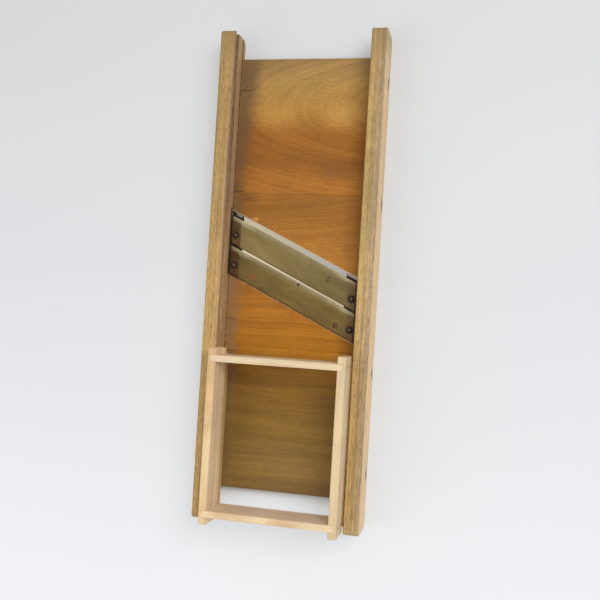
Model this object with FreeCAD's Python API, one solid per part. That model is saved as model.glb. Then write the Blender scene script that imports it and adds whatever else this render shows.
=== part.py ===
import FreeCAD, Part

import math
import os

# Wooden cabbage cutter lying on the back edges of its rails.
# X runs across the board, Y along it towards the head, Z up out of the cutting face.
# The origin is under the middle of the board. Millimetres throughout.

# Side rails
BOARD_LENGTH = 610.0
BOARD_WIDTH = 210.0
RAIL_WIDTH = 19.0
RAIL_DEPTH = 44.5
RAIL_BACK_ROUND = 10.0
RAIL_FRONT_ROUND = 4.0
RAIL_EDGE_EASE = 0.8

# Runner groove near the front of each rail
LIP_THICKNESS = 4.2
GROOVE_HEIGHT = 12.0
GROOVE_DEPTH = 10.5

# Slot near the back of each rail, which holds the panel ends
SLOT_FLOOR = 8.4
SLOT_DEPTH = 6.3

# Cross-grained panels
PANEL_THICKNESS = 4.8
PANEL_FACE_PLAY = 0.15
PANEL_END_PLAY = 0.8
PANEL_EDGE_EASE = 0.7
SEAM_GAP = 0.2
HEAD_MARGIN = 27.5
FOOT_MARGIN = 35.5
UPPER_PANEL_SHORT_SIDE = 22.9
THROAT_CHAMFER = 1.1

# Blades, laid out square to their cutting edges
BLADE_ANGLE = 25.5
BLADE_WIDTH = 32.2
BLADE_THICKNESS = 2.0
BLADE_BEVEL = 5.2
BLADE_LAND = 0.3
BLADE_LIFT = 0.9
BLADE_END_GAP = 0.8
FIRST_EDGE = 32.0
THROAT = 5.4
BLADE_GAP = 2.3
LAST_GAP = 0.4

# Ledges under the blade ends
LEFT_LEDGE_WIDTH = 12.8
RIGHT_LEDGE_WIDTH = 20.0
LEDGE_BOTTOM = 1.0
LEDGE_REACH = 12.0
LEDGE_PLAY = 0.3
LEDGE_EASE = 0.8

# Round-head wood screws that hold the blades
LEFT_SCREW_INSET = 6.6
RIGHT_SCREW_INSET = 9.8
SCREW_FROM_BACK = 11.8
SCREW_HEAD_RADIUS = 3.7
SCREW_HEAD_HEIGHT = 2.5
SCREW_RADIUS = 1.75
SCREW_LENGTH = 11.0
SCREW_POINT = 3.5
SCREW_SLOT_WIDTH = 0.9
SCREW_SLOT_DEPTH = 1.2

# Cut nails: a square shank under a flat many-sided head
NAIL_WIDTH = 1.6
NAIL_TIP_WIDTH = 0.4
NAIL_HEAD_RADIUS = 1.9
NAIL_HEAD_FACETS = 12
NAIL_HEAD_THICKNESS = 0.8
NAIL_POINT = 2.5
NAIL_LENGTH = 27.0
HOLE_PLAY = 0.08
PANEL_NAIL_INSET = 32.5
SEAM_NAIL_INSET = 12.0
LEDGE_NAIL_INSET = 5.5
RUNNER_NAIL_SPACING = 75.0
CORNER_NAIL_INSET = 10.0

# Hopper box that slides in the grooves
BOX_LENGTH = 211.0
BOX_SIDE_PLAY = 2.0
BOX_FOOT_GAP = 2.0
PLANK_THICKNESS = 10.0
PLANK_HEIGHT = 39.5
EAR = 8.4
WALL_THICKNESS = 8.0
WALL_HEIGHT = 47.0
DADO_DEPTH = 7.0
JOINT_PLAY = 0.1
BOX_EDGE_EASE = 0.6
RUNNER_FACE_PLAY = 0.3
RUNNER_SIDE_PLAY = 0.5
RUNNER_END_INSET = 7.0
RUNNER_CORNER = 6.0
RUNNER_EASE = 0.5

# Derived places
HALF_LENGTH = BOARD_LENGTH / 2
HALF_WIDTH = BOARD_WIDTH / 2
RAIL_FACE = HALF_WIDTH - RAIL_WIDTH
GROOVE_TOP = RAIL_DEPTH - LIP_THICKNESS
GROOVE_BOTTOM = GROOVE_TOP - GROOVE_HEIGHT
PANEL_BOTTOM = SLOT_FLOOR + PANEL_FACE_PLAY
PANEL_TOP = PANEL_BOTTOM + PANEL_THICKNESS
SLOT_TOP = PANEL_TOP + PANEL_FACE_PLAY
PANEL_HALF = RAIL_FACE + SLOT_DEPTH - PANEL_END_PLAY
BLADE_SEAT = PANEL_TOP + BLADE_LIFT
BLADE_HALF = RAIL_FACE - BLADE_END_GAP
UPPER_PANEL_EDGE = FIRST_EDGE + THROAT
SECOND_EDGE = FIRST_EDGE - BLADE_WIDTH - BLADE_GAP
LOWER_PANEL_EDGE = SECOND_EDGE - BLADE_WIDTH - LAST_GAP
HEAD_PANEL_Y = HALF_LENGTH - HEAD_MARGIN
FOOT_PANEL_Y = FOOT_MARGIN - HALF_LENGTH

BOX_HALF_WIDTH = RAIL_FACE - BOX_SIDE_PLAY
PLANK_INNER = BOX_HALF_WIDTH - PLANK_THICKNESS
RUNNER_BOTTOM = GROOVE_BOTTOM + RUNNER_FACE_PLAY
PLANK_BOTTOM = GROOVE_TOP - RUNNER_FACE_PLAY
BOX_TOP = PLANK_BOTTOM + PLANK_HEIGHT
RUNNER_OUTER = RAIL_FACE + GROOVE_DEPTH - RUNNER_SIDE_PLAY
BOX_FOOT_Y = BOX_FOOT_GAP - HALF_LENGTH
BOX_HEAD_Y = BOX_FOOT_Y + BOX_LENGTH
BOX_MIDDLE_Y = BOX_FOOT_Y + BOX_LENGTH / 2
WALL_OFFSET = BOX_LENGTH / 2 - EAR - WALL_THICKNESS / 2

ANGLE = math.radians(BLADE_ANGLE)
ACROSS_BLADE = FreeCAD.Vector(math.sin(ANGLE), math.cos(ANGLE), 0)
ALONG_BLADE = FreeCAD.Vector(math.cos(ANGLE), -math.sin(ANGLE), 0)
UP = FreeCAD.Vector(0, 0, 1)
SIDES = {"left": -1, "right": 1}
LEDGE_WIDTH = {-1: LEFT_LEDGE_WIDTH, 1: RIGHT_LEDGE_WIDTH}
SCREW_INSET = {-1: LEFT_SCREW_INSET, 1: RIGHT_SCREW_INSET}


def vec(x, y, z=0.0):
    return FreeCAD.Vector(x, y, z)


def block(x_range, y_range, z_range):
    """Box between two values on each axis, given in either order."""
    low = [min(pair) for pair in (x_range, y_range, z_range)]
    high = [max(pair) for pair in (x_range, y_range, z_range)]
    size = [b - a for a, b in zip(low, high)]
    return Part.makeBox(*size, vec(*low))


def prism(points, along):
    """Solid swept from the closed outline of points along a vector."""
    wire = Part.makePolygon(points + points[:1])
    return Part.Face(wire).extrude(along)


def mirrored(shape):
    return shape.mirror(vec(0, 0), vec(1, 0))


def edges_where(shape, test, length=None):
    """Edges whose two ends both pass a test on their coordinates, if wanted of one length."""
    chosen = []
    for edge in shape.Edges:
        if length is not None and not near(edge.Length, length):
            continue
        if all(test(vertex.Point) for vertex in edge.Vertexes):
            chosen.append(edge)
    return chosen


def near(a, b):
    return abs(a - b) < 1e-4


def eased(shape, size, test=lambda p: True):
    return shape.makeChamfer(size, edges_where(shape, test))


def diagonal_y(x, across):
    """Y of the line that lies 'across' from the middle, parallel to the blades."""
    return (across - x * math.sin(ANGLE)) / math.cos(ANGLE)


def diagonal_point(x, across, z=0.0):
    return vec(x, diagonal_y(x, across), z)


def diagonal_block(x_range, across_range, z_range):
    """Parallelogram plate: ends parallel to the rails, long edges parallel to the blades."""
    x0, x1 = x_range
    near_edge, far_edge = across_range
    corners = [
        diagonal_point(x0, near_edge, z_range[0]),
        diagonal_point(x1, near_edge, z_range[0]),
        diagonal_point(x1, far_edge, z_range[0]),
        diagonal_point(x0, far_edge, z_range[0]),
    ]
    return prism(corners, UP * (z_range[1] - z_range[0]))


def on_diagonal(point, across):
    return near(point.dot(ACROSS_BLADE), across)


# Fasteners

def ring(radius, facets, z):
    """Closed regular outline with its first corner between two sides' directions."""
    turn = 2 * math.pi / facets
    corners = [(step + 0.5) * turn for step in range(facets + 1)]
    return Part.makePolygon([vec(radius * math.cos(a), radius * math.sin(a), z) for a in corners])


def square(width, z):
    return ring(width / math.sqrt(2), 4, z)


def nail(head, direction):
    """Nail with its head's outer face at 'head', driven along 'direction'."""
    disc = Part.Face(ring(NAIL_HEAD_RADIUS, NAIL_HEAD_FACETS, 0)).extrude(vec(0, 0, NAIL_HEAD_THICKNESS))
    waist = NAIL_LENGTH - NAIL_POINT
    shank = Part.makeLoft([square(NAIL_WIDTH, NAIL_HEAD_THICKNESS), square(NAIL_WIDTH, waist)], True)
    point = Part.makeLoft([square(NAIL_WIDTH, waist), square(NAIL_TIP_WIDTH, NAIL_LENGTH)], True)
    return placed(disc.fuse([shank, point]).removeSplitter(), head, direction)


def nail_hole(head, direction):
    """Hole that a flush nail fills, with its play all round."""
    pocket_depth = vec(0, 0, NAIL_HEAD_THICKNESS + HOLE_PLAY)
    pocket = Part.Face(ring(NAIL_HEAD_RADIUS + HOLE_PLAY, NAIL_HEAD_FACETS, 0)).extrude(pocket_depth)
    shank_depth = vec(0, 0, NAIL_LENGTH + HOLE_PLAY)
    shank = Part.Face(square(NAIL_WIDTH + 2 * HOLE_PLAY, 0)).extrude(shank_depth)
    return placed(shank.fuse(pocket), head, direction)


def turned(profile):
    """Solid of revolution about Z of an outline in the XZ plane."""
    face = Part.Face(Part.makePolygon(profile + profile[:1]))
    return face.revolve(vec(0, 0), UP, 360)


def placed(shape, base, direction):
    """Copy of a shape built along +Z, moved to 'base' and turned to 'direction'."""
    copy = shape.copy()
    copy.Placement = FreeCAD.Placement(base, FreeCAD.Rotation(UP, direction))
    return copy


def screw(seat):
    """Slotted round-head screw whose head rests on 'seat', pointing down."""
    sphere_radius = (SCREW_HEAD_RADIUS ** 2 + SCREW_HEAD_HEIGHT ** 2) / (2 * SCREW_HEAD_HEIGHT)
    ball = Part.makeSphere(sphere_radius, vec(0, 0, SCREW_HEAD_HEIGHT - sphere_radius))
    head = ball.common(Part.makeCylinder(SCREW_HEAD_RADIUS, SCREW_HEAD_HEIGHT))
    slot_bottom = SCREW_HEAD_HEIGHT - SCREW_SLOT_DEPTH
    slot = block(
        (-SCREW_HEAD_RADIUS, SCREW_HEAD_RADIUS),
        (-SCREW_SLOT_WIDTH / 2, SCREW_SLOT_WIDTH / 2),
        (slot_bottom, SCREW_HEAD_HEIGHT),
    )
    slot.rotate(vec(0, 0), UP, BLADE_ANGLE)
    shank = turned([
        vec(0, 0, 0),
        vec(SCREW_RADIUS, 0, 0),
        vec(SCREW_RADIUS, 0, SCREW_POINT - SCREW_LENGTH),
        vec(0, 0, -SCREW_LENGTH),
    ])
    body = head.cut(slot).fuse(shank)
    body.translate(seat)
    return body


def screw_hole(seat):
    return Part.makeCylinder(SCREW_RADIUS + HOLE_PLAY, 2 * SCREW_LENGTH, seat - UP * (SCREW_LENGTH + HOLE_PLAY))


# Fastener places

def blade_screw_seats(cutting_edge, side):
    """Seat of the screw at one end of the blade whose edge is at 'cutting_edge'."""
    across = cutting_edge - BLADE_WIDTH + SCREW_FROM_BACK
    return diagonal_point(side * (BLADE_HALF - SCREW_INSET[side]), across, BLADE_SEAT + BLADE_THICKNESS)


def rail_nail_heads(side):
    """Nails through one rail into the ends of the panels."""
    level = (PANEL_TOP + PANEL_BOTTOM) / 2
    rows = (
        HEAD_PANEL_Y - PANEL_NAIL_INSET,
        seam_y() - SEAM_NAIL_INSET,
        diagonal_y(RAIL_FACE, LOWER_PANEL_EDGE) - PANEL_NAIL_INSET,
        FOOT_PANEL_Y + PANEL_NAIL_INSET,
    )
    return [vec(side * HALF_WIDTH, y, level) for y in rows]


def ledge_span(side):
    """Y range of the low part of a ledge, which reaches under both panels."""
    edges = (side * RAIL_FACE, side * (RAIL_FACE - LEDGE_WIDTH[side]))
    foot = min(diagonal_y(x, LOWER_PANEL_EDGE) for x in edges)
    head = max(diagonal_y(x, UPPER_PANEL_EDGE) for x in edges)
    return foot - LEDGE_REACH, head + LEDGE_REACH


def ledge_nail_heads(side):
    """Nails from the ledge's inner face into the rail, one under each panel."""
    foot, head = ledge_span(side)
    level = (LEDGE_BOTTOM + SLOT_FLOOR) / 2
    rows = (foot + LEDGE_NAIL_INSET, head - LEDGE_NAIL_INSET)
    return [vec(side * (RAIL_FACE - LEDGE_WIDTH[side]), y, level) for y in rows]


def runner_nail_heads(side):
    """Nails up through a runner into the edge of its plank."""
    middle = (PLANK_INNER + BOX_HALF_WIDTH) / 2
    rows = [BOX_MIDDLE_Y + step * RUNNER_NAIL_SPACING for step in (-1, 0, 1)]
    return [vec(side * middle, y, RUNNER_BOTTOM) for y in rows]


def corner_nail_heads(side, end):
    """Nails through one plank into the end of one cross wall."""
    y = BOX_MIDDLE_Y + end * WALL_OFFSET
    levels = (PLANK_BOTTOM + CORNER_NAIL_INSET, BOX_TOP - CORNER_NAIL_INSET)
    return [vec(side * BOX_HALF_WIDTH, y, z) for z in levels]


def cut_nails(shape, heads, direction):
    for head in heads:
        shape = shape.cut(nail_hole(head, direction))
    return shape


# The board

def seam_y():
    """Seam between the two upper panels, above the short side of the lower of them."""
    return diagonal_y(-RAIL_FACE, UPPER_PANEL_EDGE) + UPPER_PANEL_SHORT_SIDE


def rail(side):
    """Right rail, mirrored for the left: rounded ends, runner groove, panel slot, nail holes."""
    blank = block((RAIL_FACE, HALF_WIDTH), (-HALF_LENGTH, HALF_LENGTH), (0, RAIL_DEPTH))
    for level, radius in ((0, RAIL_BACK_ROUND), (RAIL_DEPTH, RAIL_FRONT_ROUND)):
        at_corner = lambda p: near(abs(p.y), HALF_LENGTH) and near(p.z, level)
        blank = blank.makeFillet(radius, edges_where(blank, at_corner, RAIL_WIDTH))
    for x in (RAIL_FACE, HALF_WIDTH):
        blank = eased(blank, RAIL_EDGE_EASE, lambda p: near(p.x, x))
    everywhere = (-BOARD_LENGTH, BOARD_LENGTH)
    groove = block((0, RAIL_FACE + GROOVE_DEPTH), everywhere, (GROOVE_BOTTOM, GROOVE_TOP))
    slot = block((0, RAIL_FACE + SLOT_DEPTH), everywhere, (SLOT_FLOOR, SLOT_TOP))
    shape = blank.cut(groove).cut(slot)
    if side < 0:
        shape = mirrored(shape)
    shape = cut_nails(shape, rail_nail_heads(side), vec(-side, 0))
    return cut_nails(shape, ledge_nail_heads(side), vec(side, 0))


def nailed_panel(shape):
    for side in SIDES.values():
        shape = cut_nails(shape, rail_nail_heads(side), vec(-side, 0))
    return shape


def head_panel():
    """Plain rectangular panel at the head, its free edge eased on both faces."""
    panel = block(
        (-PANEL_HALF, PANEL_HALF),
        (seam_y() + SEAM_GAP / 2, HEAD_PANEL_Y),
        (PANEL_BOTTOM, PANEL_TOP),
    )
    panel = eased(panel, PANEL_EDGE_EASE, lambda p: near(p.y, HEAD_PANEL_Y) and inside_slots(p))
    return nailed_panel(panel)


def inside_slots(point):
    return near(abs(point.x), PANEL_HALF)


def upper_panel():
    """Panel between the seam and the throat, chamfered along the throat."""
    top = seam_y() - SEAM_GAP / 2
    corners = [
        vec(-PANEL_HALF, top, PANEL_BOTTOM),
        vec(PANEL_HALF, top, PANEL_BOTTOM),
        diagonal_point(PANEL_HALF, UPPER_PANEL_EDGE, PANEL_BOTTOM),
        diagonal_point(-PANEL_HALF, UPPER_PANEL_EDGE, PANEL_BOTTOM),
    ]
    panel = prism(corners, UP * PANEL_THICKNESS)
    panel = eased(panel, THROAT_CHAMFER, lambda p: on_diagonal(p, UPPER_PANEL_EDGE) and near(p.z, PANEL_TOP))
    return nailed_panel(panel)


def lower_panel():
    """Panel from the second blade's back edge down to the foot."""
    corners = [
        vec(-PANEL_HALF, FOOT_PANEL_Y, PANEL_BOTTOM),
        vec(PANEL_HALF, FOOT_PANEL_Y, PANEL_BOTTOM),
        diagonal_point(PANEL_HALF, LOWER_PANEL_EDGE, PANEL_BOTTOM),
        diagonal_point(-PANEL_HALF, LOWER_PANEL_EDGE, PANEL_BOTTOM),
    ]
    panel = prism(corners, UP * PANEL_THICKNESS)
    panel = eased(panel, PANEL_EDGE_EASE, lambda p: near(p.y, FOOT_PANEL_Y) and inside_slots(p))
    panel = eased(panel, PANEL_EDGE_EASE, lambda p: on_diagonal(p, LOWER_PANEL_EDGE) and near(p.z, PANEL_TOP))
    return nailed_panel(panel)


def blade(cutting_edge):
    """Parallelogram blade, ground to a thin land along its head-side edge."""
    back = cutting_edge - BLADE_WIDTH
    top = BLADE_SEAT + BLADE_THICKNESS
    section = [
        (back, BLADE_SEAT),
        (cutting_edge, BLADE_SEAT),
        (cutting_edge, BLADE_SEAT + BLADE_LAND),
        (cutting_edge - BLADE_BEVEL, top),
        (back, top),
    ]
    start = ALONG_BLADE * -BOARD_WIDTH
    outline = [start + ACROSS_BLADE * across + UP * z for across, z in section]
    bar = prism(outline, ALONG_BLADE * (2 * BOARD_WIDTH))
    limits = block((-BLADE_HALF, BLADE_HALF), (-BOARD_LENGTH, BOARD_LENGTH), (0, RAIL_DEPTH))
    shape = bar.common(limits)
    for side in SIDES.values():
        shape = shape.cut(screw_hole(blade_screw_seats(cutting_edge, side)))
    return shape


def ledge(side):
    """Stepped bearer: its raised middle carries both blade ends, its low ends pass under the panels."""
    x_range = (side * (RAIL_FACE - LEDGE_WIDTH[side]), side * RAIL_FACE)
    low = block(x_range, ledge_span(side), (LEDGE_BOTTOM, SLOT_FLOOR))
    ends = ledge_span(side)
    low = eased(low, LEDGE_EASE, lambda p: near(p.x, x_range[0]) and any(near(p.y, y) for y in ends))
    raised = diagonal_block(
        x_range,
        (LOWER_PANEL_EDGE + LEDGE_PLAY, FIRST_EDGE - BLADE_LAND),
        (LEDGE_BOTTOM, BLADE_SEAT),
    )
    shape = low.fuse(raised).removeSplitter()
    for cutting_edge in (FIRST_EDGE, SECOND_EDGE):
        shape = shape.cut(screw_hole(blade_screw_seats(cutting_edge, side)))
    return cut_nails(shape, ledge_nail_heads(side), vec(side, 0))


def blade_screws():
    seats = [blade_screw_seats(edge, side) for edge in (FIRST_EDGE, SECOND_EDGE) for side in SIDES.values()]
    return Part.makeCompound([screw(seat) for seat in seats])


def nails(heads, direction):
    return Part.makeCompound([nail(head, direction) for head in heads])


# The hopper box

def box_side(side):
    """Long plank with ears past both walls and a through dado for each wall."""
    plank = block(
        (side * PLANK_INNER, side * BOX_HALF_WIDTH),
        (BOX_FOOT_Y, BOX_HEAD_Y),
        (PLANK_BOTTOM, BOX_TOP),
    )
    at_top = lambda p: near(p.z, BOX_TOP)
    at_ear_end = lambda p: near(p.y, BOX_FOOT_Y) or near(p.y, BOX_HEAD_Y)
    plank = eased(plank, BOX_EDGE_EASE, lambda p: at_top(p) or (at_ear_end(p) and near(abs(p.x), BOX_HALF_WIDTH)))
    for end in (-1, 1):
        middle = BOX_MIDDLE_Y + end * WALL_OFFSET
        half = WALL_THICKNESS / 2 + JOINT_PLAY
        dado = block(
            (0, side * (PLANK_INNER + DADO_DEPTH)),
            (middle - half, middle + half),
            (0, 2 * BOX_TOP),
        )
        plank = plank.cut(dado)
        plank = cut_nails(plank, corner_nail_heads(side, end), vec(-side, 0))
    return cut_nails(plank, runner_nail_heads(side), UP)


def box_end(end):
    """Cross wall housed in both planks, with its lower edge stepped in between the runners."""
    middle = BOX_MIDDLE_Y + end * WALL_OFFSET
    housed = PLANK_INNER + DADO_DEPTH - JOINT_PLAY
    stepped = PLANK_INNER - JOINT_PLAY
    shoulder = PLANK_BOTTOM + JOINT_PLAY
    bottom = BOX_TOP - WALL_HEIGHT
    outline = [
        (-housed, BOX_TOP),
        (-housed, shoulder),
        (-stepped, shoulder),
        (-stepped, bottom),
        (stepped, bottom),
        (stepped, shoulder),
        (housed, shoulder),
        (housed, BOX_TOP),
    ]
    start = middle - WALL_THICKNESS / 2
    wall = prism([vec(x, start, z) for x, z in outline], vec(0, WALL_THICKNESS))
    wall = eased(wall, BOX_EDGE_EASE, lambda p: near(abs(p.x), stepped) and near(p.z, bottom))
    for side in SIDES.values():
        wall = cut_nails(wall, corner_nail_heads(side, end), vec(-side, 0))
    return wall


def box_runner(side):
    """Runner under a plank's edge, its outer corners rounded so that it enters the groove."""
    inner = side * PLANK_INNER
    outer = side * RUNNER_OUTER
    y_range = (BOX_FOOT_Y + RUNNER_END_INSET, BOX_HEAD_Y - RUNNER_END_INSET)
    strip = block((inner, outer), y_range, (RUNNER_BOTTOM, PLANK_BOTTOM))
    corners = edges_where(strip, lambda p: near(p.x, outer), PLANK_BOTTOM - RUNNER_BOTTOM)
    strip = strip.makeFillet(RUNNER_CORNER, corners)
    strip = eased(strip, RUNNER_EASE, lambda p: near(p.z, RUNNER_BOTTOM) and abs(p.x) > BOX_HALF_WIDTH)
    return cut_nails(strip, runner_nail_heads(side), UP)


def corner_nails():
    heads = []
    for side in SIDES.values():
        for end in (-1, 1):
            heads += [nail(head, vec(-side, 0)) for head in corner_nail_heads(side, end)]
    return Part.makeCompound(heads)


def build():
    nodes = {
        "head_panel": head_panel(),
        "upper_panel": upper_panel(),
        "lower_panel": lower_panel(),
        "upper_blade": blade(FIRST_EDGE),
        "lower_blade": blade(SECOND_EDGE),
        "blade_screws": blade_screws(),
        "box_head_end": box_end(1),
        "box_foot_end": box_end(-1),
        "box_corner_nails": corner_nails(),
    }
    for name, side in SIDES.items():
        nodes[name + "_rail"] = rail(side)
        nodes[name + "_ledge"] = ledge(side)
        nodes[name + "_rail_nails"] = nails(rail_nail_heads(side), vec(-side, 0))
        nodes[name + "_ledge_nails"] = nails(ledge_nail_heads(side), vec(side, 0))
        nodes["box_" + name + "_side"] = box_side(side)
        nodes["box_" + name + "_runner"] = box_runner(side)
        nodes["box_" + name + "_runner_nails"] = nails(runner_nail_heads(side), UP)
    return nodes


os.makedirs("parts", exist_ok=True)
for node, shape in build().items():
    shape.exportStep("parts/" + node + ".step")
    print(node, len(shape.Solids), "solids", round(shape.Volume / 1000, 2), "cm3", shape.isValid())
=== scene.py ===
import math

import bpy
from mathutils import Euler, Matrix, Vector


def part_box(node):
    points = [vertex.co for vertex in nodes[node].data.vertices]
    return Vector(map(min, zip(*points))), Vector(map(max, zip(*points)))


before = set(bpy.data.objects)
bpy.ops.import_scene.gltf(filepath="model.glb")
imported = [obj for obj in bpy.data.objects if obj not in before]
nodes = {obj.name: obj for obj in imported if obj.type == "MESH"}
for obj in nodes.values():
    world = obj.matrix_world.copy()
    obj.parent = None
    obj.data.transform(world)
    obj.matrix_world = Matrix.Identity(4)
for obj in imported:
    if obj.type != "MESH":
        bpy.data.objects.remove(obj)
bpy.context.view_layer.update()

# Sizes that the looks follow, in metres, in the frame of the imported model. What has to do with
# the blades' edges, throat and bed is measured from the board's middle, square to the edges.
# Places of screws, ledges and rails are along X, rows of nails along Y, and levels along Z.
BLADE_ANGLE = math.radians(25.5)
BLADE_WIDTH = 0.0322
UPPER_EDGE = 0.0320
LOWER_EDGE = -0.0025
THROAT_EDGE = 0.0374
CHAMFER = 0.0011
BED_MIDDLE = 0.0015
BED_REACH = 0.0365
DARK_BED_TOP = 0.0170
SCREW_FROM_BACK = 0.0118
SCREW_PLACES = (-0.0786, 0.0754)
SCREW_SEAT = 0.01625
SCREW_HEAD = 0.0025
LEDGE_FACES = (-0.0732, 0.0660)
RAIL_FACE = 0.086
RAIL_OUTER = 0.105
RAIL_TOP = 0.0445
GROOVE_BACK = 0.0965
LIP_BOTTOM = 0.0403
NAIL_ROWS = (0.245, 0.0934, -0.1124, -0.237)
NAIL_LEVEL = 0.011
SPLIT_WIDTH = 0.0007
HALO_WIDTH = 0.0019
SCREW_RUST = 0.0066
EASED_EDGE = 0.0003
EASED_ANGLE = math.radians(50)

# The lower panel's figure and grey margin are faintest on the foot side of this place
FAINT_FIGURE = -0.17

# Camera that was fitted to the rails, panels and blades
CAMERA_PLACE = (0.2436, -0.0485, 1.0187)
CAMERA_TURN = (1.956, 12.998, 3.536)
CAMERA_LENS = 49.40
SENSOR_WIDTH = 36.0

# Studio; a lift is a share of the floor's look that doesn't depend on the light
FLOOR_LIFT = 0.45
THROAT_LIFT = 0.95
FLOOR_REACH = 6.0
SKY = (0.95, 0.97, 1.0, 1.0)
SKY_STRENGTH = 0.55

# Most values of a noise lie between these two
NOISE_LOW = 0.3
NOISE_HIGH = 0.7

# Colour sockets of a mix node
FIRST_IN = 6
SECOND_IN = 7
MIXED_OUT = 2


def tone(red, green, blue):
    """Linear colour of an sRGB one given in 0 to 255."""
    channels = []
    for value in (red, green, blue):
        value /= 255
        channels.append(value / 12.92 if value <= 0.04045 else ((value + 0.055) / 1.055) ** 2.4)
    return (*channels, 1.0)


LATE_WOOD = (0.74, 0.62, 0.48, 1.0)
# Near-black brown: dirt in the splits, and painted shade in the gaps at the panels' joints and
# beside the blades' ends
DIRT_AND_SHADE = tone(44, 30, 20)


class Graph:
    """A material's node tree, with short calls for the nodes that the recipes use."""

    def __init__(self, name):
        self.material = bpy.data.materials.new(name)
        self.material.use_nodes = True
        self.tree = self.material.node_tree
        self.tree.nodes.clear()
        coordinates = self.node("ShaderNodeTexCoord")
        self.place = coordinates.outputs["Object"]
        self.x, self.y, self.z = self.split(self.place)
        normal = self.split(coordinates.outputs["Normal"])
        self.up = normal["Z"]

    def node(self, kind, **inputs):
        """A new node; an underscore in the name of an input stands for a space."""
        made = self.tree.nodes.new(kind)
        for name, value in inputs.items():
            self.feed(made.inputs[name.replace("_", " ")], value)
        return made

    def feed(self, socket, value):
        """Link a socket to another node's one, or give it a plain value."""
        if isinstance(value, bpy.types.NodeSocket):
            self.tree.links.new(value, socket)
        else:
            socket.default_value = value

    def split(self, vector):
        return self.node("ShaderNodeSeparateXYZ", Vector=vector).outputs

    def math(self, operation, *values):
        made = self.tree.nodes.new("ShaderNodeMath")
        made.operation = operation
        for socket, value in zip(made.inputs, values):
            self.feed(socket, value)
        return made.outputs[0]

    def add(self, a, b):
        return self.math("ADD", a, b)

    def less(self, a, b):
        return self.math("SUBTRACT", a, b)

    def times(self, *values):
        result = values[0]
        for value in values[1:]:
            result = self.math("MULTIPLY", result, value)
        return result

    def most(self, *values):
        result = values[0]
        for value in values[1:]:
            result = self.math("MAXIMUM", result, value)
        return result

    def size(self, value):
        return self.math("ABSOLUTE", value)

    def length(self, a, b):
        return self.math("SQRT", self.add(self.times(a, a), self.times(b, b)))

    def vector(self, x, y, z):
        return self.node("ShaderNodeCombineXYZ", X=x, Y=y, Z=z).outputs[0]

    def fade(self, value, start, end, low=0.0, high=1.0):
        """Smooth step from low, at start, to high, at end."""
        made = self.tree.nodes.new("ShaderNodeMapRange")
        made.interpolation_type = "SMOOTHSTEP"
        if start > end:
            start, end, low, high = end, start, high, low
        for socket, item in zip(made.inputs, (value, start, end, low, high)):
            self.feed(socket, item)
        return made.outputs[0]

    def ratio(self, value, start, end):
        """0 at start and 1 at end, in a straight line."""
        made = self.tree.nodes.new("ShaderNodeMapRange")
        for socket, item in zip(made.inputs, (value, start, end, 0.0, 1.0)):
            self.feed(socket, item)
        return made.outputs[0]

    def strip(self, value, start, end, soft):
        """1 between start and end, with soft sides."""
        entered = self.fade(value, start - soft, start + soft)
        return self.times(entered, self.fade(value, end + soft, end - soft))

    def noise(self, vector, scale, detail=3.0, roughness=0.55, distortion=0.0):
        made = self.node(
            "ShaderNodeTexNoise",
            Vector=vector, Scale=scale, Detail=detail, Roughness=roughness, Distortion=distortion,
        )
        return made.outputs["Fac"]

    def swing(self, noise, amount):
        """A noise as a signed length of about half of 'amount' each way."""
        return self.times(self.less(noise, 0.5), amount)

    def spread(self, noise, low, high):
        """A noise with its usual values drawn out to run from low to high."""
        return self.fade(noise, NOISE_LOW, NOISE_HIGH, low, high)

    def ramp(self, factor, stops):
        """Colour that runs through the stops, each a position and a colour."""
        made = self.node("ShaderNodeValToRGB", Fac=factor)
        elements = made.color_ramp.elements
        while len(elements) < len(stops):
            elements.new(0.5)
        for element, (position, colour) in zip(elements, stops):
            element.position = position
            element.color = colour
        return made.outputs["Color"]

    def mix(self, factor, a, b, blend="MIX"):
        """Colour a where the factor is 0 and b where it is 1."""
        made = self.tree.nodes.new("ShaderNodeMix")
        made.data_type = "RGBA"
        made.blend_type = blend
        self.feed(made.inputs["Factor"], factor)
        self.feed(made.inputs[FIRST_IN], a)
        self.feed(made.inputs[SECOND_IN], b)
        return made.outputs[MIXED_OUT]

    def laid(self, colour, other, mask, share=1.0):
        """Colour with another one laid over it where the mask is 1, at a share of its strength."""
        return self.mix(self.times(mask, share), colour, other)

    def shade(self, colour, amount):
        """Colour made darker or lighter by a grey amount."""
        made = self.node("ShaderNodeCombineColor", Red=amount, Green=amount, Blue=amount)
        return self.mix(1.0, colour, made.outputs[0], "MULTIPLY")

    def mottled(self, colour, noise, low, high):
        """Colour made darker where a noise is low, and lighter where it is high."""
        return self.shade(colour, self.spread(noise, low, high))

    def across_blades(self):
        """How far a place is from the board's middle, square to the blades' edges."""
        rise = self.times(self.x, math.sin(BLADE_ANGLE))
        return self.add(rise, self.times(self.y, math.cos(BLADE_ANGLE)))

    def spot(self, x, y, radius, soft, stretch=1.0):
        """1 inside a ragged round place on the face, fading out at its rim."""
        dx = self.times(self.less(self.x, x), 1.0 / stretch)
        away = self.length(dx, self.less(self.y, y))
        rim = self.add(away, self.swing(self.noise(self.place, 420.0, 2.0), radius * 1.1))
        return self.fade(rim, radius, radius * (1 - soft))

    def finish(self, colour, roughness, height, bump, depth, metallic=0.0, **fixed):
        """The material, with a bump from 'height'; 'fixed' sets further sockets of the shader."""
        lift = self.node("ShaderNodeBump", Height=height, Strength=bump, Distance=depth)
        shader = self.node("ShaderNodeBsdfPrincipled", Base_Color=colour, Roughness=roughness)
        self.feed(shader.inputs["Metallic"], metallic)
        self.tree.links.new(lift.outputs[0], shader.inputs["Normal"])
        for name, value in fixed.items():
            shader.inputs[name.replace("_", " ")].default_value = value
        out = self.tree.nodes.new("ShaderNodeOutputMaterial")
        self.tree.links.new(shader.outputs[0], out.inputs[0])
        return self.material


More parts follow.
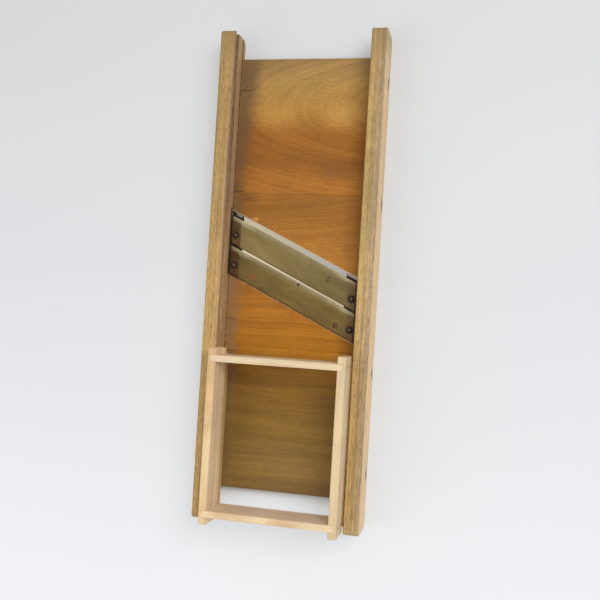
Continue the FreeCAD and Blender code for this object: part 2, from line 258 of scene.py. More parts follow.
class Wood(Graph):
    """Solid wood: fibres along the grain, and rings round a pith beside the piece."""

    def __init__(self, name, grain, pith, spacing, seed, sway=0.006, waves=(4.0, 12.0),
                 lean=(0.0, 0.0)):
        super().__init__(name)
        self.seed = seed
        places = enumerate((self.x, self.y, self.z), 1)
        moved = [self.add(value, seed * step) for step, value in places]
        if grain == "X":
            self.along, self.across, self.deep = moved
            self.reach = self.from_pith(self.x, self.y, pith, sway, waves, lean)
        else:
            self.across, self.along, self.deep = moved
            self.reach = self.from_pith(self.y, self.x, pith, sway, waves, lean)
        self.ring = self.late_wood(spacing)
        self.layer = self.grown(75.0, 3.0)
        self.line = self.grown(430.0, 7.0)
        self.fibre = self.stretched(26.0, 900.0, 3.0, 0.65)
        self.thread = self.stretched(14.0, 460.0, 3.0, 0.65)
        self.streak = self.stretched(7.0, 190.0, 3.0, 0.6)
        self.band = self.stretched(2.6, 42.0, 3.0, 0.55)
        self.pore = self.fade(self.stretched(150.0, 1300.0, 1.0), 0.66, 0.74)
        self.cloud = self.noise(self.place, 22.0 + seed, 4.0, 0.6)
        self.grit = self.noise(self.place, 380.0, 3.0, 0.7)

    def from_pith(self, grainwise, beside, pith, sway, waves, lean):
        """Distance from a pith that sways, and that leans by a slope from a place on."""
        slope, start = lean
        wave = self.stretched(*waves, 2.0, 0.45)
        side = self.add(self.less(beside, pith[0]), self.swing(wave, sway * 4))
        level = self.times(self.less(grainwise, start), slope)
        return self.length(side, self.add(self.less(self.z, pith[1]), level))

    def late_wood(self, spacing):
        """1 in the dark part of each ring, stronger in some rings and places than in others."""
        growth = self.noise(self.vector(self.reach, self.seed, 0.0), 120.0, 2.0)
        turns = self.add(self.times(self.reach, 1.0 / spacing), self.times(growth, 2.4))
        turn = self.math("FRACT", turns)
        late = self.times(self.fade(turn, 0.1, 0.8), self.fade(turn, 1.0, 0.84))
        patch = self.fade(self.noise(self.place, 15.0 + self.seed, 3.0), 0.36, 0.60, 0.35, 1.0)
        return self.times(late, self.fade(growth, 0.34, 0.66, 0.3, 1.0), patch)

    def stretched(self, along, across, detail, roughness=0.5):
        """Noise drawn out along the grain."""
        sideways = (self.times(self.across, across), self.times(self.deep, across))
        vector = self.vector(self.times(self.along, along), *sideways)
        return self.noise(vector, 1.0, detail, roughness)

    def grown(self, across, along):
        """Noise in layers that follow the rings."""
        run = self.times(self.along, along)
        vector = self.vector(self.times(self.reach, across), run, self.seed)
        return self.noise(vector, 1.0, 3.0, 0.55)

    def figured(self, colour, rings, fibres, clouds):
        """Colour with its late wood darkened, and with fibres and clouds lighter and darker."""
        late = self.mix(1.0, colour, LATE_WOOD, "MULTIPLY")
        colour = self.laid(colour, late, self.ring, rings)
        colour = self.shade(colour, self.fade(self.fibre, 0.2, 0.8, 1.0 - fibres, 1.0 + fibres))
        return self.shade(colour, self.fade(self.cloud, 0.28, 0.72, 1.0 - clouds, 1.0 + clouds))

    def edge(self, node_name, reach=0.0022):
        """1 at the outer edges of a square piece, fading to 0 inside, broken up a little."""
        low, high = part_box(node_name)
        gaps = []
        for value, bottom, top in zip((self.x, self.y, self.z), low, high):
            gaps.append(self.math("MINIMUM", self.less(value, bottom), self.less(top, value)))
        a, b, c = gaps
        smaller = self.math("MINIMUM", a, b)
        larger = self.math("MAXIMUM", a, b)
        middle = self.math("MAXIMUM", smaller, self.math("MINIMUM", larger, c))
        return self.fade(self.add(middle, self.swing(self.grit, reach * 1.6)), reach, 0.0)

    def ragged(self, value, amount):
        """A coordinate with an uneven edge laid on it."""
        return self.add(value, self.swing(self.cloud, amount))

    def crack(self, x, y, length):
        """1 along a thin split that starts at the rail and runs with the grain."""
        run = self.times(self.less(self.x, x), -1 if x > 0 else 1)
        inside = self.fade(run, length, length * 0.5)
        wave = self.noise(self.vector(self.times(self.x, 120.0), 0.0, y), 1.0, 2.0)
        off = self.size(self.add(self.less(self.y, y), self.swing(wave, 0.002)))
        return self.times(self.fade(off, SPLIT_WIDTH, SPLIT_WIDTH * 0.3), inside)

    def throat_edge(self):
        """1 on the bare chamfer that the slices pass."""
        arris = THROAT_EDGE + CHAMFER
        return self.fade(self.across_blades(), arris + 0.0003, arris - 0.0001)

    def worn_and_lit_arris(self):
        """1 along the lower panel's arris behind the blade, pale in places: worn wood and a painted
        highlight.
        """
        back = LOWER_EDGE - BLADE_WIDTH
        line = self.strip(self.across_blades(), back - 0.0022, back + 0.001, 0.0004)
        bare = self.fade(self.noise(self.x, 90.0, 3.0), 0.36, 0.60, 0.15, 0.8)
        return self.times(line, bare, self.fade(self.x, -0.0735, -0.0715))

    def nail_stain(self, y):
        """1 round a nail in a rail's outer face, drawn out along the grain."""
        away = self.length(self.times(self.less(self.y, y), 0.45), self.less(self.z, NAIL_LEVEL))
        return self.fade(self.add(away, self.swing(self.grit, 0.0035)), 0.0054, 0.0014, 0.0, 0.95)


def steady_bevel(node):
    """Small rounding on the sharp edges of a CAD node, so that they catch the light."""
    bevel = node.modifiers.new("eased", "BEVEL")
    bevel.width = EASED_EDGE
    bevel.segments = 2
    bevel.limit_method = "ANGLE"
    bevel.angle_limit = EASED_ANGLE
    bevel.harden_normals = True


def dress(node_name, material):
    node = nodes[node_name]
    node.data.materials.clear()
    node.data.materials.append(material)


# Panels: each has its tones from its foot-side edge to its head-side edge

HEAD_TONES = [
    (0.0, tone(170, 110, 42)),
    (0.11, tone(164, 105, 38)),
    (0.24, tone(146, 92, 34)),
    (0.45, tone(158, 101, 36)),
    (0.60, tone(178, 129, 58)),
    (0.82, tone(172, 135, 74)),
    (1.0, tone(152, 119, 72)),
]
UPPER_TONES = [
    (0.0, tone(178, 122, 46)),
    (0.45, tone(166, 111, 42)),
    (0.78, tone(152, 99, 38)),
    (1.0, tone(158, 103, 39)),
]
LOWER_TONES = [
    (0.0, tone(142, 112, 62)),
    (0.25, tone(132, 101, 43)),
    (0.52, tone(143, 103, 38)),
    (0.66, tone(180, 119, 29)),
    (0.80, tone(176, 112, 30)),
    (1.0, tone(158, 99, 36)),
]

# Marks on the panels: splits are x, y and length, chips are x, y and radius, and smears are
# x, y, radius, softness, stretch, strength and tone

HEAD_SPLITS = [(-RAIL_FACE, 0.2375, 0.020), (-RAIL_FACE, 0.1075, 0.018)]
HEAD_SMEARS = [
    (0.048, 0.136, 0.017, 0.95, 2.6, 0.55, tone(118, 76, 34)),
    (-0.036, 0.205, 0.026, 0.95, 1.5, 0.5, tone(200, 150, 74)),
    (0.052, 0.207, 0.026, 0.95, 1.3, 0.35, tone(206, 164, 96)),
]
UPPER_CHIPS = [(-0.054, 0.0722, 0.0033), (-0.028, 0.0600, 0.0011)]
UPPER_SMEARS = [(-0.066, 0.099, 0.012, 0.9, 1.5, 0.5, tone(100, 64, 30))]
LOWER_SPLITS = [
    (-RAIL_FACE, -0.0555, 0.017), (-RAIL_FACE, -0.0965, 0.018), (RAIL_FACE, -0.1135, 0.022),
]
LOWER_CHIPS = [(0.037, -0.0715, 0.0009)]


def panel_figure(wood, foot, head, tones, contrast):
    """Tones along the board with wavy figure and fibres."""
    wave = wood.stretched(5.0, 16.0, 3.0)
    level = wood.ratio(wood.add(wood.y, wood.swing(wave, 0.03)), foot, head)
    colour = wood.ramp(level, tones)
    colour = wood.mottled(colour, wood.layer, 1 - contrast, 1 + contrast)
    colour = wood.mottled(colour, wood.line, 0.93, 1.06)
    hairs = wood.stretched(130.0, 620.0, 3.0, 0.7)
    colour = wood.mottled(colour, hairs, 0.90, 1.10)
    rings = wood.times(wood.fade(wood.y, FAINT_FIGURE, -0.08, 0.4, 1.0), contrast * 5.0)
    return wood.figured(colour, rings, 0.09, 0.06)


def panel_margins(wood, colour, head, margin, grey_wood):
    """Grey along the left rail, brown along the right one, and painted shade of the gaps in the
    joints with both.
    """
    edge_x, slant, soft = margin
    run = wood.add(wood.x, wood.times(wood.less(wood.y, head), -slant))
    run = wood.ragged(wood.add(run, wood.swing(wood.streak, 0.014)), 0.012)
    left = wood.fade(run, edge_x + soft, edge_x - soft)
    grey = wood.mix(wood.fade(wood.line, 0.35, 0.65, 0.6, 0.9), colour, grey_wood)
    colour = wood.laid(colour, grey, left, wood.fade(wood.y, FAINT_FIGURE, -0.10, 0.4, 0.92))
    right = wood.fade(wood.ragged(wood.x, 0.012), 0.075, 0.084)
    colour = wood.laid(colour, tone(120, 88, 36), right, 0.45)
    # Painted shade: a broken dark line where the gaps between the panel and the rails are
    broken = wood.fade(wood.noise(wood.y, 130.0), 0.4, 0.6)
    side = wood.fade(wood.size(wood.x), RAIL_FACE - 0.0015, RAIL_FACE - 0.0005)
    return wood.laid(colour, DIRT_AND_SHADE, wood.times(side, broken), 0.85)


def panel_marks(wood, colour, splits, chips, smears):
    """Dark splits, chips of fresh wood, and smears."""
    for x, y, length in splits:
        colour = wood.laid(colour, DIRT_AND_SHADE, wood.crack(x, y, length), 0.85)
    for x, y, radius in chips:
        colour = wood.laid(colour, tone(204, 140, 74), wood.spot(x, y, radius, 0.5, 1.6), 0.7)
    for x, y, radius, soft, stretch, share, smear in smears:
        colour = wood.laid(colour, smear, wood.spot(x, y, radius, soft, stretch), share)
    return colour


def panel_material(node_name, wood, tones, contrast, margin, grey_wood,
                   splits=(), chips=(), smears=()):
    """Old cross-grained panel; 'margin' is the grey margin's edge, its slant and its softness."""
    low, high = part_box(node_name)
    colour = panel_figure(wood, low[1], high[1], tones, contrast)
    colour = panel_margins(wood, colour, high[1], margin, grey_wood)
    colour = panel_marks(wood, colour, splits, chips, smears)
    if node_name == "upper_panel":
        colour = wood.laid(colour, tone(222, 204, 182), wood.throat_edge())
    if node_name == "lower_panel":
        # Pale arris behind the lower blade: worn wood and a painted highlight
        colour = wood.laid(colour, tone(212, 166, 116), wood.worn_and_lit_arris())
    rough = wood.spread(wood.cloud, 0.52, 0.68)
    height = wood.add(wood.times(wood.fibre, 0.5), wood.times(wood.ring, -0.3))
    height = wood.less(height, wood.times(wood.pore, 0.3))
    return wood.finish(colour, rough, height, bump=0.3, depth=0.00025, Specular_IOR_Level=0.2)


def dress_panels():
    head = Wood("old_panel_head", "X", pith=(0.217, 0.004), spacing=0.0086, sway=0.006,
                waves=(5.5, 14.0), seed=0.13, lean=(0.32, 0.200))
    dress("head_panel", panel_material(
        "head_panel", head, HEAD_TONES, contrast=0.09, margin=(-0.058, 0.1, 0.009),
        grey_wood=tone(114, 90, 60), splits=HEAD_SPLITS, smears=HEAD_SMEARS,
    ))
    upper = Wood("old_panel_upper", "X", pith=(0.190, -0.060), spacing=0.0040, sway=0.004,
                 waves=(8.0, 16.0), seed=0.47, lean=(0.28, 0.162))
    dress("upper_panel", panel_material(
        "upper_panel", upper, UPPER_TONES, contrast=0.07, margin=(-0.074, 0.0, 0.004),
        grey_wood=tone(120, 94, 64), chips=UPPER_CHIPS, smears=UPPER_SMEARS,
    ))
    lower = Wood("old_panel_lower", "X", pith=(0.100, -0.020), spacing=0.0073, sway=0.003,
                 waves=(14.0, 16.0), seed=0.81)
    dress("lower_panel", panel_material(
        "lower_panel", lower, LOWER_TONES, contrast=0.15, margin=(-0.073, -0.03, 0.008),
        grey_wood=tone(146, 118, 82), splits=LOWER_SPLITS, chips=LOWER_CHIPS,
    ))


# Rails: each has its tones across its upper face, from its inner side to its outer side

LEFT_STRIPES = [
    (0.0, tone(160, 128, 92)),
    (0.10, tone(184, 150, 110)),
    (0.20, tone(182, 147, 95)),
    (0.27, tone(164, 132, 80)),
    (0.35, tone(182, 149, 95)),
    (0.47, tone(173, 141, 86)),
    (0.60, tone(181, 149, 92)),
    (0.85, tone(175, 142, 87)),
    (1.0, tone(166, 142, 92)),
]
RIGHT_STRIPES = [
    (0.0, tone(196, 165, 108)),
    (0.20, tone(189, 160, 100)),
    (0.35, tone(177, 148, 95)),
    (0.50, tone(174, 146, 99)),
    (0.70, tone(177, 149, 109)),
    (0.85, tone(172, 148, 112)),
    (1.0, tone(166, 142, 110)),
]


def rail_stripes(wood, stripes, light, smear):
    """Stripes along the rail, made lighter towards the foot by painted light, and dulled where the
    smear is.
    """
    drift = wood.add(wood.swing(wood.band, 0.006), wood.swing(wood.streak, 0.003))
    across = wood.add(wood.size(wood.x), drift)
    colour = wood.ramp(wood.ratio(across, RAIL_FACE, RAIL_OUTER), stripes)
    # Painted light: the rail grows lighter towards the foot
    colour = wood.shade(colour, wood.fade(wood.y, 0.14, -0.06, *light))
    dulled = wood.times(wood.strip(wood.y, 0.07, 0.14, 0.05), smear)
    return wood.shade(colour, wood.less(1.0, dulled))


def rail_grain(wood, colour, fleck):
    """Fibres, dark seams, rings, pores, and dark and pale flecks."""
    colour = wood.mottled(colour, wood.streak, 0.90, 1.08)
    colour = wood.mottled(colour, wood.thread, 0.85, 1.13)
    hairs = wood.stretched(130.0, 420.0, 3.0, 0.7)
    colour = wood.mottled(colour, hairs, 0.84, 1.14)
    seam = wood.fade(wood.stretched(3.0, 300.0, 2.0), 0.60, 0.68)
    colour = wood.laid(colour, tone(128, 92, 66), seam, 0.35)
    colour = wood.figured(colour, 0.60, 0.09, 0.06)
    colour = wood.laid(colour, tone(104, 80, 52), wood.pore, 0.5)
    flecked = wood.times(fleck, wood.fade(wood.band, 0.35, 0.6))
    colour = wood.laid(colour, tone(118, 96, 70), flecked, 0.5)
    pale = wood.fade(wood.stretched(160.0, 700.0, 1.0), 0.70, 0.76)
    return wood.laid(colour, tone(222, 196, 148), pale, 0.5)


def rail_wear(wood, colour):
    """Weathered head end, painted light on the inner face, painted shade in the groove, and dirt
    and painted shade beside the blades' ends.
    """
    flank = wood.size(wood.x)
    weathered = wood.fade(wood.ragged(wood.y, 0.05), 0.262, 0.30)
    colour = wood.laid(colour, tone(132, 110, 72), weathered, 0.4)
    # Painted light: the lip's inner face made lighter than its stripes, making up for the shade it
    # stands in
    lit_inner = wood.fade(flank, RAIL_FACE + 0.0006, RAIL_FACE + 0.0001)
    lit_inner = wood.times(lit_inner, wood.fade(wood.z, RAIL_TOP, RAIL_TOP - 0.0045))
    colour = wood.laid(colour, tone(190, 156, 116), lit_inner, 0.6)
    # Painted shade: the groove darkened, most towards the head
    entered = wood.fade(flank, RAIL_FACE + 0.0002, RAIL_FACE + 0.0010)
    before_back = wood.fade(flank, GROOVE_BACK + 0.0010, GROOVE_BACK + 0.0001)
    below = wood.fade(wood.z, LIP_BOTTOM + 0.0001, LIP_BOTTOM - 0.0001)
    aged_and_shaded = wood.fade(wood.ragged(wood.y, 0.06), 0.05, 0.17, 0.25, 0.75)
    hollow = wood.times(entered, before_back, below)
    colour = wood.laid(colour, wood.shade(colour, 0.5), hollow, aged_and_shaded)
    # Dirt and painted shade: dark on the rail's face beside the blades' ends, where the gaps are
    off = wood.size(wood.less(wood.across_blades(), BED_MIDDLE))
    bed = wood.fade(off, BED_REACH + 0.004, BED_REACH)
    face = wood.fade(flank, RAIL_FACE + 0.0010, RAIL_FACE + 0.0002)
    low = wood.fade(wood.z, DARK_BED_TOP + 0.005, DARK_BED_TOP)
    return wood.laid(colour, DIRT_AND_SHADE, wood.times(bed, face, low), 0.85)


def rail_material(node_name, stripes, seed, light, smear):
    """Straw-coloured hardwood, bare on its outer side, dark in the groove and round the nails."""
    sign = -1 if node_name == "left_rail" else 1
    wood = Wood("straw_" + node_name, "Y", pith=(sign * 0.150, -0.02), spacing=0.0042, sway=0.002,
                waves=(1.6, 9.0), seed=seed)
    outer = wood.fade(wood.size(wood.x), RAIL_OUTER - 0.0012, RAIL_OUTER - 0.0002)
    # The bare outer side also grows lighter towards the foot by painted light
    bare = wood.shade(tone(230, 200, 156), wood.fade(wood.y, 0.16, -0.02, 0.99, 1.11))
    fleck = wood.fade(wood.stretched(90.0, 520.0, 2.0), 0.58, 0.70)
    colour = wood.laid(rail_stripes(wood, stripes, light, smear), bare, outer, 0.8)
    colour = wood.laid(rail_grain(wood, colour, fleck), bare, outer, 0.4)
    colour = rail_wear(wood, colour)
    for y in NAIL_ROWS:
        colour = wood.laid(colour, tone(52, 38, 28), wood.nail_stain(y), outer)
    colour = wood.laid(colour, tone(126, 100, 62), wood.edge(node_name), 0.4)
    rough = wood.spread(wood.fibre, 0.58, 0.75)
    height = wood.add(wood.times(wood.fibre, 0.6), wood.times(wood.ring, -0.35))
    height = wood.less(height, wood.times(wood.most(wood.pore, fleck), 0.5))
    return wood.finish(colour, rough, height, bump=0.5, depth=0.0003, Specular_IOR_Level=0.25)


def dress_rails():
    left = rail_material("left_rail", LEFT_STRIPES, seed=0.29, light=(0.98, 1.22), smear=0.0)
    dress("left_rail", left)
    right = rail_material("right_rail", RIGHT_STRIPES, seed=0.63, light=(0.96, 1.18), smear=0.13)
    dress("right_rail", right)


# Ledges

def ledge_material(node_name, seed):
    """Dark wood, partly dirt and partly painted shade under the blades, with a pale strip beside
    the edge of the panel above: lighter wood with painted light on its faces that look up.
    """
    wood = Wood("dirty_and_shaded_" + node_name, "Y", pith=(0.0, -0.06), spacing=0.003, seed=seed)
    # Dark tones: dirt and painted shade
    base = wood.ramp(wood.streak, [(NOISE_LOW, tone(42, 30, 22)), (NOISE_HIGH, tone(66, 48, 34))])
    colour = wood.laid(base, tone(34, 24, 18), wood.ring, 0.5)
    colour = wood.mottled(colour, wood.cloud, 0.85, 1.15)
    colour = wood.laid(colour, tone(104, 78, 54), wood.edge(node_name, 0.0012), 0.3)
    # Pale strip: lighter wood with painted light, only on faces that look up
    across = wood.ragged(wood.across_blades(), 0.001)
    rubbed = wood.strip(across, UPPER_EDGE + 0.0028, THROAT_EDGE, 0.0003)
    lit_share = wood.fade(wood.ragged(wood.x, 0.004), -0.0840, -0.0790)
    lit_share = wood.times(lit_share, wood.fade(wood.up, 0.5, 0.9))
    colour = wood.laid(colour, tone(216, 202, 182), rubbed, lit_share)
    rough = wood.spread(wood.fibre, 0.65, 0.85)
    return wood.finish(colour, rough, wood.fibre, bump=0.4, depth=0.0003, Specular_IOR_Level=0.2)


def dress_ledges():
    dress("left_ledge", ledge_material("left_ledge", 0.11))
    dress("right_ledge", ledge_material("right_ledge", 0.52))


# Box: tones of early wood, light streaks, aged streaks, late wood, and faces that look up

PALE = (
    tone(228, 203, 162), tone(238, 216, 178), tone(229, 206, 174),
    tone(184, 138, 88), tone(232, 203, 152),
)
WALL = (
    tone(232, 208, 174), tone(242, 223, 194), tone(228, 205, 180),
    tone(192, 150, 108), tone(234, 209, 166),
)
GOLDEN = (
    tone(190, 154, 100), tone(206, 172, 118), tone(196, 158, 104),
    tone(116, 80, 44), tone(190, 152, 98),
)

# Planks and walls of the box: grain, pith, seed, tones and brightness; the brightness is painted
# light and shade that evens out how the lamps fall on each piece

BOX_BOARDS = {
    "box_left_side": ("Y", (-0.079, -0.09), 0.17, PALE, 1.08),
    "box_right_side": ("Y", (0.079, -0.07), 0.39, PALE, 0.88),
    "box_head_end": ("X", (-0.104, -0.06), 0.23, WALL, 0.98),
    "box_foot_end": ("X", (-0.29, -0.08), 0.71, WALL, 1.10),
}


def box_material(node_name, grain, pith, seed, tones, painted_light_gain=1.0, spacing=0.0030, lines=0.75):
    """Softwood with close, nearly straight rings; 'lines' is how strong its late wood is."""
    early, light, aged_and_shaded, late, upper = tones
    wood = Wood("wood_" + node_name, grain, pith, spacing, sway=0.0014, waves=(3.0, 9.0), seed=seed)
    colour = wood.ramp(wood.streak, [(0.3, early), (0.52, light), (0.75, aged_and_shaded)])
    colour = wood.mix(wood.fade(wood.layer, 0.42, 0.66, 0.0, 0.6), colour, aged_and_shaded)
    colour = wood.laid(colour, upper, wood.fade(wood.up, 0.5, 0.9), 0.55)
    colour = wood.laid(colour, late, wood.ring, lines)
    seam = wood.fade(wood.stretched(4.0, 420.0, 2.0), 0.58, 0.68)
    colour = wood.laid(colour, late, seam, 0.35)
    # Painted light and shade: the piece's gain makes it lighter or darker as a whole
    colour = wood.mottled(colour, wood.line, 0.95 * painted_light_gain, 1.04 * painted_light_gain)
    colour = wood.mottled(colour, wood.thread, 0.93, 1.06)
    colour = wood.figured(colour, 0.0, 0.05, 0.05)
    colour = wood.laid(colour, late, wood.pore, 0.3)
    colour = wood.laid(colour, tone(184, 142, 92), wood.edge(node_name, 0.0012), 0.25)
    rough = wood.spread(wood.fibre, 0.55, 0.7)
    height = wood.add(wood.times(wood.fibre, 0.5), wood.times(wood.ring, 0.3))
    return wood.finish(colour, rough, height, bump=0.35, depth=0.00022, Specular_IOR_Level=0.25)


def dress_box():
    for name, recipe in BOX_BOARDS.items():
        dress(name, box_material(name, *recipe))
    for name, x, seed in (("box_left_runner", -0.13, 0.57), ("box_right_runner", 0.13, 0.91)):
        runner = box_material(name, "Y", (x, 0.02), seed, GOLDEN, spacing=0.0056, lines=0.95)
        dress(name, runner)


# Steel

class Steel(Graph):
    """Tarnished steel with fine scratches along the blade."""

    def __init__(self, name):
        super().__init__(name)
        self.across = self.across_blades()
        right = self.times(self.x, math.cos(BLADE_ANGLE))
        self.along = self.less(right, self.times(self.y, math.sin(BLADE_ANGLE)))
        self.scratch = self.noise(self.drawn_out(30.0, 1800.0), 1.0, 3.0, 0.7)
        self.stain = self.noise(self.drawn_out(18.0, 60.0), 1.0, 4.0, 0.6, 0.4)
        self.speck = self.noise(self.place, 700.0, 3.0, 0.7)
        self.cloud = self.noise(self.place, 60.0, 4.0, 0.6)

    def drawn_out(self, along, across):
        """Coordinates scaled along and across the blade."""
        return self.vector(self.times(self.along, along), self.times(self.across, across), self.z)

    def halo(self, x, y, radius, gap):
        """1 on an uneven ring, such as a drop's stain; a higher 'gap' leaves more of it out."""
        away = self.length(self.less(self.x, x), self.less(self.y, y))
        off = self.size(self.less(self.add(away, self.swing(self.cloud, 0.0014)), radius))
        whole = self.fade(self.noise(self.place, 210.0), gap, gap + 0.2, 0.2, 1.0)
        return self.times(self.fade(off, HALO_WIDTH, HALO_WIDTH * 0.2), whole)


def screw_places(edge):
    """Where the two screws stand in the blade whose cutting edge is at 'edge'."""
    across = edge - BLADE_WIDTH + SCREW_FROM_BACK
    return [(x, (across - x * math.sin(BLADE_ANGLE)) / math.cos(BLADE_ANGLE)) for x in SCREW_PLACES]


def ground_edge(steel, colour, edge, widths):
    """Bevel ground pale, as wide as 'widths' says from left to right, and bright at its ends."""
    left, middle, right = widths
    width = steel.add(steel.fade(steel.x, -0.055, -0.015, left, middle),
                      steel.fade(steel.x, 0.02, 0.07, 0.0, right - middle))
    depth = steel.less(edge, steel.add(steel.across, steel.swing(steel.cloud, 0.0022)))
    bright = steel.mottled(tone(158, 143, 106), steel.cloud, 0.84, 1.10)
    ground = steel.fade(steel.less(depth, width), 0.0016, -0.0012)
    colour = steel.laid(colour, bright, ground, 0.8)
    colour = steel.laid(colour, bright, steel.fade(depth, 0.0105, 0.0020), 0.35)
    line = steel.fade(steel.across, edge - 0.0011, edge - 0.0002)
    colour = steel.laid(colour, tone(112, 98, 70), line, 0.35)
    beside = steel.size(steel.x)
    ends = steel.times(steel.fade(beside, 0.050, 0.070), steel.fade(beside, 0.083, 0.079))
    scratched = steel.fade(steel.scratch, 0.46, 0.60)
    rubbed = steel.times(ends, scratched, steel.fade(depth, 0.0066, 0.0030))
    return steel.laid(colour, tone(218, 204, 168), rubbed, 0.9)


def rusty_and_shaded_ends(steel, colour, edge):
    """Brown rust over the two ledges, and painted shade: dark along the back edge, and nearly black
    at the rails and at a corner by the left ledge.
    """
    left_face, right_face = LEDGE_FACES
    near_left = steel.add(steel.x, steel.swing(steel.cloud, 0.006))
    left = steel.fade(near_left, left_face + 0.002, left_face)
    near_right = steel.add(steel.x, steel.swing(steel.cloud, 0.024))
    right = steel.fade(near_right, right_face, right_face + 0.010)
    cover = steel.spread(steel.cloud, 0.6, 0.95)
    clear = steel.fade(steel.across, edge - 0.0020, edge - 0.0062, 0.2, 1.0)
    colour = steel.laid(colour, tone(88, 58, 30), left, steel.times(cover, clear))
    colour = steel.laid(colour, tone(112, 82, 46), right, steel.times(cover, clear, 0.9))
    back = edge - BLADE_WIDTH
    uneven = steel.add(steel.across, steel.swing(steel.cloud, 0.002))
    shadow = steel.fade(uneven, back + 0.0028, back + 0.0002)
    colour = steel.laid(colour, tone(84, 56, 28), shadow, 0.55)
    # Painted shade: nearly black where the gaps at the rails and beside the left ledge's end are
    corner = steel.fade(steel.across, back + 0.0016, back + 0.0008)
    corner = steel.times(corner, steel.fade(steel.x, -0.071, -0.074))
    left_rail = steel.fade(steel.x, -0.0834, -0.0842)
    right_rail = steel.fade(steel.x, 0.0788, 0.0798)
    return steel.laid(colour, tone(34, 22, 16), steel.most(left_rail, right_rail, corner), 0.9)


def rust_marks(steel, edge, halos):
    """1 on freckles, on rings that drops left, and round the screws."""
    freckles = steel.times(steel.fade(steel.speck, 0.66, 0.76), steel.fade(steel.cloud, 0.48, 0.62))
    marks = steel.times(freckles, 0.35)
    for x, y, radius, gap in halos:
        marks = steel.most(marks, steel.halo(x, y, radius, gap))
    for x, y in screw_places(edge):
        marks = steel.most(marks, steel.times(steel.spot(x, y, SCREW_RUST, 0.45), 0.95))
    return marks


def blade_material(name, edge, tones, light, widths, halos, rust_spots):
    """Blade: olive tarnish, paler ground edge, brown where the ledges keep it damp.

    The tones are dull, plain and clear, and 'light' is the shade at the left and at the right.
    A halo is x, y, radius and gap, and a rust spot is x, y and radius.
    """
    steel = Steel(name)
    colour = steel.ramp(steel.stain, list(zip((NOISE_LOW, 0.5, NOISE_HIGH), tones)))
    colour = steel.shade(colour, steel.fade(steel.x, -0.06, 0.06, *light))
    colour = steel.shade(colour, steel.fade(steel.scratch, 0.25, 0.75, 0.91, 1.08))
    colour = rusty_and_shaded_ends(steel, ground_edge(steel, colour, edge, widths), edge)
    rust = steel.ramp(steel.speck, [
        (0.3, tone(32, 20, 14)),
        (0.55, tone(58, 37, 22)),
        (0.8, tone(100, 65, 36)),
    ])
    marks = rust_marks(steel, edge, halos)
    colour = steel.mix(marks, colour, rust)
    for x, y, radius in rust_spots:
        colour = steel.laid(colour, tone(150, 76, 46), steel.spot(x, y, radius, 0.9, 1.3), 0.9)
    rough = steel.add(steel.spread(steel.scratch, 0.44, 0.56), steel.times(marks, 0.25))
    height = steel.add(steel.times(steel.scratch, 0.4), steel.times(marks, steel.speck, 0.8))
    metallic = steel.fade(marks, 0.0, 1.0, 0.55, 0.1)
    return steel.finish(colour, rough, height, bump=0.25, depth=0.00015, metallic=metallic)


def screw_material():
    """Rusted screw heads, nearly black round the rim, with a painted highlight on top."""
    steel = Steel("rusty_screws")
    level = steel.add(steel.z, steel.swing(steel.speck, 0.0012))
    top = SCREW_SEAT + SCREW_HEAD
    # Painted highlight: the top of each head lighter than the rest
    colour = steel.ramp(steel.ratio(level, SCREW_SEAT, top), [
        (0.35, tone(34, 22, 16)),
        (0.75, tone(74, 50, 36)),
        (1.0, tone(168, 136, 110)),
    ])
    metallic = steel.fade(level, top - 0.0012, top, 0.2, 0.7)
    rough = steel.spread(steel.speck, 0.45, 0.7)
    return steel.finish(colour, rough, steel.speck, bump=0.4, depth=0.0002, metallic=metallic)


def nail_material():
    """Dark iron with brown specks."""
    steel = Steel("dark_nails")
    dark, brown = tone(32, 24, 18), tone(74, 54, 38)
    colour = steel.ramp(steel.speck, [(NOISE_LOW, dark), (NOISE_HIGH, brown)])
    colour = steel.mottled(colour, steel.cloud, 0.8, 1.15)
    metallic = steel.fade(steel.speck, 0.4, 0.7, 0.3, 0.7)
    rough = steel.spread(steel.speck, 0.5, 0.8)
    return steel.finish(colour, rough, steel.speck, bump=0.5, depth=0.0003, metallic=metallic)


def dress_metal():
    dress("upper_blade", blade_material(
        "tarnished_upper_blade", UPPER_EDGE,
        tones=(tone(118, 99, 54), tone(131, 111, 64), tone(142, 123, 77)),
        light=(1.11, 0.86), widths=(0.0048, 0.0014, 0.0018),
        halos=[(0.0448, -0.0002, 0.0024, 0.36)], rust_spots=[],
    ))
    dress("lower_blade", blade_material(
        "tarnished_lower_blade", LOWER_EDGE,
        tones=(tone(103, 81, 36), tone(118, 96, 44), tone(130, 107, 53)),
        light=(1.0, 0.98), widths=(0.0026, 0.0022, 0.0026),
        halos=[(0.0572, -0.0571, 0.0022, 0.3), (0.0067, -0.0089, 0.0006, 0.3)],
        rust_spots=[(-0.0538, -0.0016, 0.0058)],
    ))
    dress("blade_screws", screw_material())
    iron = nail_material()
    for name in nodes:
        if name.endswith("_nails"):
            dress(name, iron)


# Studio

def paper_colour(paper, cloud, throat):
    """Pale paper, a little darker towards the head, with light on it under the two gaps."""
    level = paper.ratio(paper.add(paper.y, paper.swing(cloud, 0.2)), -0.40, 0.42)
    colour = paper.ramp(level, [
        (0.0, tone(239, 241, 243)),
        (0.5, tone(221, 223, 225)),
        (1.0, tone(215, 216, 215)),
    ])
    upper = paper.mix(paper.ratio(paper.x, -0.06, 0.07), tone(202, 188, 158), tone(174, 174, 168))
    lower = paper.mix(paper.ratio(paper.x, -0.07, 0.02), tone(232, 218, 186), tone(206, 190, 158))
    gaps = paper.mix(paper.fade(paper.across_blades(), 0.012, 0.022), lower, upper)
    return paper.mix(throat, colour, gaps)


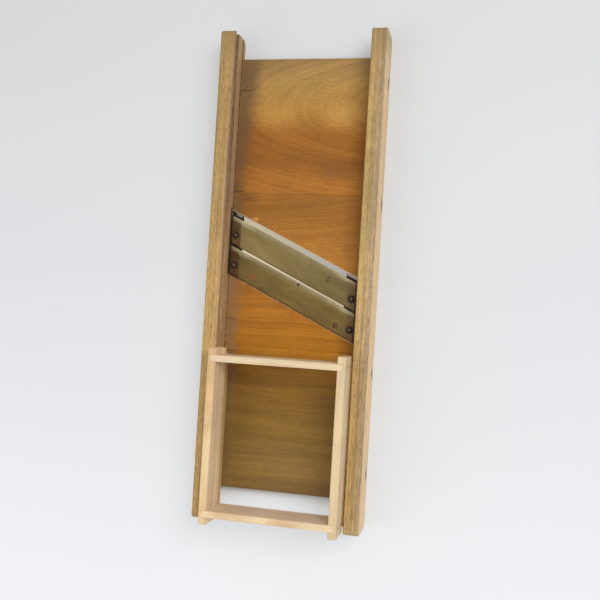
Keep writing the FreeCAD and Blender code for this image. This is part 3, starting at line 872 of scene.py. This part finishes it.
def blend_with_glow(paper, glow_colour, share):
    """Give a share of the paper's look to its plain colour, where the paper is seen."""
    out = paper.tree.nodes["Material Output"]
    lit = out.inputs[0].links[0].from_socket
    rays = paper.node("ShaderNodeLightPath").outputs
    seen = paper.most(rays["Is Camera Ray"], rays["Is Glossy Ray"], rays["Is Transmission Ray"])
    glow = paper.node("ShaderNodeEmission", Color=glow_colour)
    blend = paper.node("ShaderNodeMixShader", Fac=paper.times(seen, share))
    paper.tree.links.new(lit, blend.inputs[1])
    paper.tree.links.new(glow.outputs[0], blend.inputs[2])
    paper.tree.links.new(blend.outputs[0], out.inputs[0])


def floor_material():
    """Matt paper whose shadows are lifted beside the board and under its two gaps."""
    paper = Graph("studio_floor")
    cloud = paper.noise(paper.place, 1.4, 2.0)
    off = paper.size(paper.less(paper.across_blades(), (THROAT_EDGE + LOWER_EDGE) / 2))
    beside = paper.size(paper.x)
    throat = paper.times(paper.fade(off, 0.032, 0.026), paper.fade(beside, 0.095, 0.088))
    colour = paper_colour(paper, cloud, throat)
    grain = paper.noise(paper.place, 900.0, 2.0)
    material = paper.finish(colour, paper.spread(cloud, 0.8, 0.9), grain, bump=0.05, depth=0.0002)
    lengthwise = paper.fade(paper.size(paper.y), 0.29, 0.27)
    under = paper.times(paper.fade(beside, 0.100, 0.090), lengthwise)
    lift = paper.times(paper.less(1.0, under), FLOOR_LIFT)
    blend_with_glow(paper, colour, paper.add(lift, paper.times(throat, THROAT_LIFT)))
    return material


def make_floor():
    mesh = bpy.data.meshes.new("studio_floor")
    square = ((-1, -1), (1, -1), (1, 1), (-1, 1))
    corners = [(x * FLOOR_REACH, y * FLOOR_REACH, 0) for x, y in square]
    mesh.from_pydata(corners, [], [(0, 1, 2, 3)])
    mesh.materials.append(floor_material())
    floor = bpy.data.objects.new("studio_floor", mesh)
    bpy.context.scene.collection.objects.link(floor)


def make_sky():
    world = bpy.data.worlds.new("studio_world")
    world.use_nodes = True
    background = world.node_tree.nodes["Background"]
    background.inputs["Color"].default_value = SKY
    background.inputs["Strength"].default_value = SKY_STRENGTH
    bpy.context.scene.world = world


def add_light(name, place, size, power, colour):
    """Square lamp that points at the middle of the frame."""
    data = bpy.data.lights.new(name, "AREA")
    data.size = size
    data.energy = power
    data.color = colour
    light = bpy.data.objects.new(name, data)
    light.location = place
    light.rotation_euler = (-light.location).to_track_quat("-Z", "Y").to_euler()
    bpy.context.scene.collection.objects.link(light)


def make_studio():
    make_floor()
    make_sky()
    add_light("key_light", (1.1, 0.6, 1.8), size=1.2, power=25.0, colour=(1.0, 0.98, 0.95))
    add_light("fill_light", (-1.2, -0.6, 1.5), size=1.6, power=11.0, colour=(0.96, 0.98, 1.0))


def make_camera():
    data = bpy.data.cameras.new("photo_camera")
    data.lens = CAMERA_LENS
    data.sensor_width = SENSOR_WIDTH
    camera = bpy.data.objects.new("photo_camera", data)
    camera.location = CAMERA_PLACE
    camera.rotation_euler = Euler([math.radians(angle) for angle in CAMERA_TURN], "XYZ")
    bpy.context.scene.collection.objects.link(camera)
    bpy.context.scene.camera = camera


make_camera()
make_studio()
dress_panels()
dress_rails()
dress_ledges()
dress_box()
dress_metal()
for name, node in nodes.items():
    if not name.endswith(("_nails", "_panel")):
        steady_bevel(node)

bpy.context.scene.view_settings.view_transform = "Standard"
